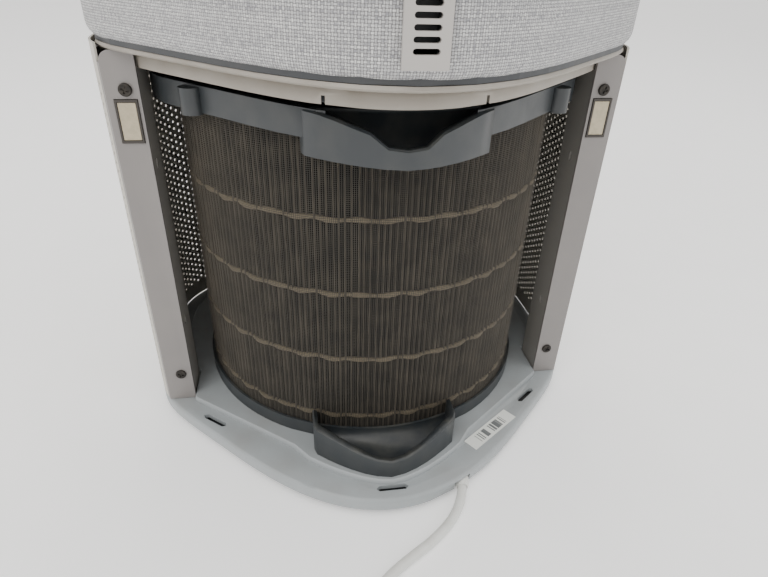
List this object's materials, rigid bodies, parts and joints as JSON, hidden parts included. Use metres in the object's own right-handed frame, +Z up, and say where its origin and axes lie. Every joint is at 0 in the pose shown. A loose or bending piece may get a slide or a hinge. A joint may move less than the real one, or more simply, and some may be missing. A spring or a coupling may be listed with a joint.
{
  "type": "air purifier",
  "caption": "Free-standing rounded-square air purifier, fabric above and perforated sheet below, door off, with a slide-out pleated drum filter and a top outlet.",
  "frame": {"origin": "centre of the body on the floor, under the feet", "axes": "+Z up; -Y is the open service corner that the filter slides out of; +Y is the user's side with the controls; +X to the right seen from the service side"},
  "size_m": [0.3144, 0.526, 0.59],
  "materials": {
    "tray_plastic": "satin light grey",
    "post_plastic": "satin mid grey",
    "flange_plastic": "matt dark brown-grey",
    "perforated_sheet": "matt grey",
    "collar_plastic": "satin warm grey",
    "woven_fabric": "woven melange",
    "cover_plastic": "satin light grey",
    "cap_plastic": "satin blue-grey",
    "inner_plastic": "matt dark grey",
    "filter_paper": "pleated, matt brown-grey",
    "carbon_mesh": "matt black",
    "net": "fine dark net",
    "rubber": "matt",
    "foam": "open-cell foam",
    "cord_sleeve": "satin off-white",
    "steel": "plain",
    "black_steel": "blackened",
    "strike_tan": "satin tan",
    "circuit_board": "solder mask",
    "label_paper": "matt"
  },
  "bodies": {
    "purifier": {"base_tray": "tray_plastic", "base_plate": "inner_plastic", "foot_1": "rubber", "foot_2": "rubber", "foot_3": "rubber", "foot_4": "rubber", "rating_label": "label_paper", "post_left": "post_plastic", "post_right": "post_plastic", "post_flange_left": "flange_plastic", "post_flange_right": "flange_plastic", "strike_frame_left": "flange_plastic", "strike_frame_right": "flange_plastic", "strike_plate_left": "strike_tan", "strike_plate_right": "strike_tan", "post_screw_left_low": "black_steel", "post_screw_left_high": "black_steel", "post_screw_right_low": "black_steel", "post_screw_right_high": "black_steel", "perforated_wall": "perforated_sheet", "collar_ring": "collar_plastic", "inlet_plate": "inner_plastic", "inner_housing": "inner_plastic", "fabric_wrap": "woven_fabric", "sensor_grille": "cover_plastic", "particle_sensor": "cover_plastic", "power_board": "circuit_board", "fan_duct": "inner_plastic", "motor_mount": "inner_plastic", "fan_motor": "steel", "top_cover": "cover_plastic", "outlet_grille": "inner_plastic", "control_panel": "inner_plastic", "control_board": "circuit_board", "cord_gland": "cord_sleeve", "mains_cord": "cord_sleeve", "cord_coil": "cord_sleeve", "mains_cord_tail": "cord_sleeve", "mains_plug": "cord_sleeve", "plug_pin_a": "steel", "plug_pin_b": "steel"},
    "filter": {"filter_cap_bottom": "cap_plastic", "filter_cap_top": "cap_plastic", "filter_media": "filter_paper", "filter_core": "carbon_mesh", "filter_net": "net", "filter_seal": "foam"},
    "rotor": {"impeller": "inner_plastic", "fan_shaft": "steel"},
    "power_button": {"button_1": "cover_plastic"},
    "mode_button": {"button_2": "cover_plastic"},
    "speed_button": {"button_3": "cover_plastic"}
  },
  "joints": [
    {"name": "filter_slide", "type": "slide", "parent": "purifier", "child": "filter", "axis": [0, -1, 0], "range_m": [0, 0.31]},
    {"name": "fan_spin", "type": "hinge", "parent": "purifier", "child": "rotor", "pos_m": [0, 0, 0.3], "axis": [0, 0, 1], "continuous": true},
    {"name": "power_button_press", "type": "slide", "parent": "purifier", "child": "power_button", "axis": [0, 0, -1], "range_m": [0, 0.0008], "stiffness_N_per_m": 400, "springref_m": -0.0006},
    {"name": "mode_button_press", "type": "slide", "parent": "purifier", "child": "mode_button", "axis": [0, 0, -1], "range_m": [0, 0.0008], "stiffness_N_per_m": 400, "springref_m": -0.0006},
    {"name": "speed_button_press", "type": "slide", "parent": "purifier", "child": "speed_button", "axis": [0, 0, -1], "range_m": [0, 0.0008], "stiffness_N_per_m": 400, "springref_m": -0.0006}
  ]
}
